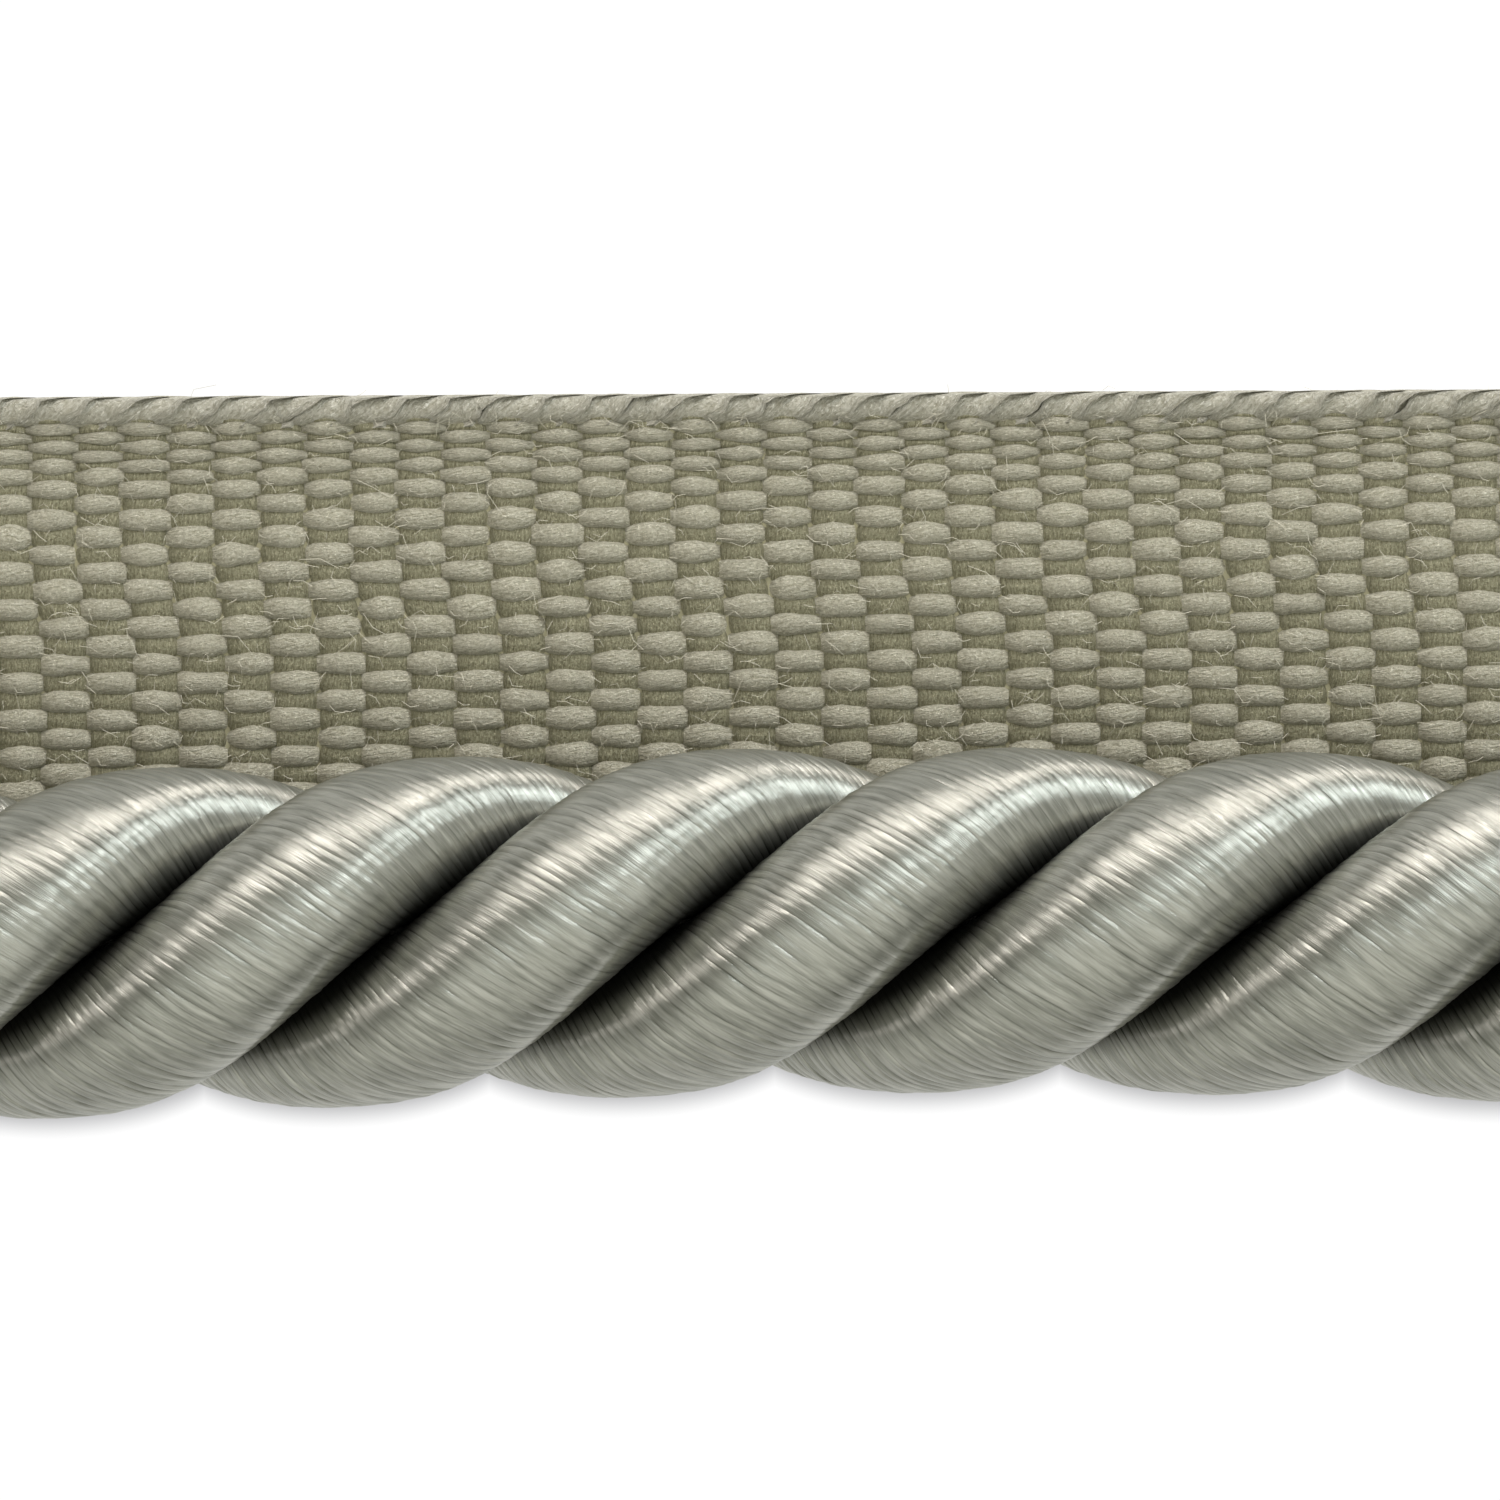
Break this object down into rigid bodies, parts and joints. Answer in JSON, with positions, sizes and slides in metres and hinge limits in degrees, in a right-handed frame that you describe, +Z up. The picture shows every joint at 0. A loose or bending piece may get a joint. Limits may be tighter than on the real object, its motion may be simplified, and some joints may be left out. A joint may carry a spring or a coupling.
{
  "type": "lip cord trim",
  "caption": "Straight cut length of twisted cord trim: satin-wound strands laid into a cord, sewn along a flat woven tape that stands out as a lip to stitch into a seam.",
  "frame": {"origin": "on the underside of the tape, at the middle of the trim's length, under the line where the lip leaves the cord", "axes": "+X along the trim, +Y across it from the cord towards the lip's free edge, +Z up out of the tape's upper face, the side the cord lies on"},
  "size_m": [0.071, 0.0201, 0.0108],
  "materials": {
    "satin_thread": "satin",
    "tape_cloth": "matte"
  },
  "bodies": {
    "root": {"strand_1": "satin_thread", "strand_2": "satin_thread", "strand_3": "satin_thread", "tape": "tape_cloth"}
  },
  "joints": []
}
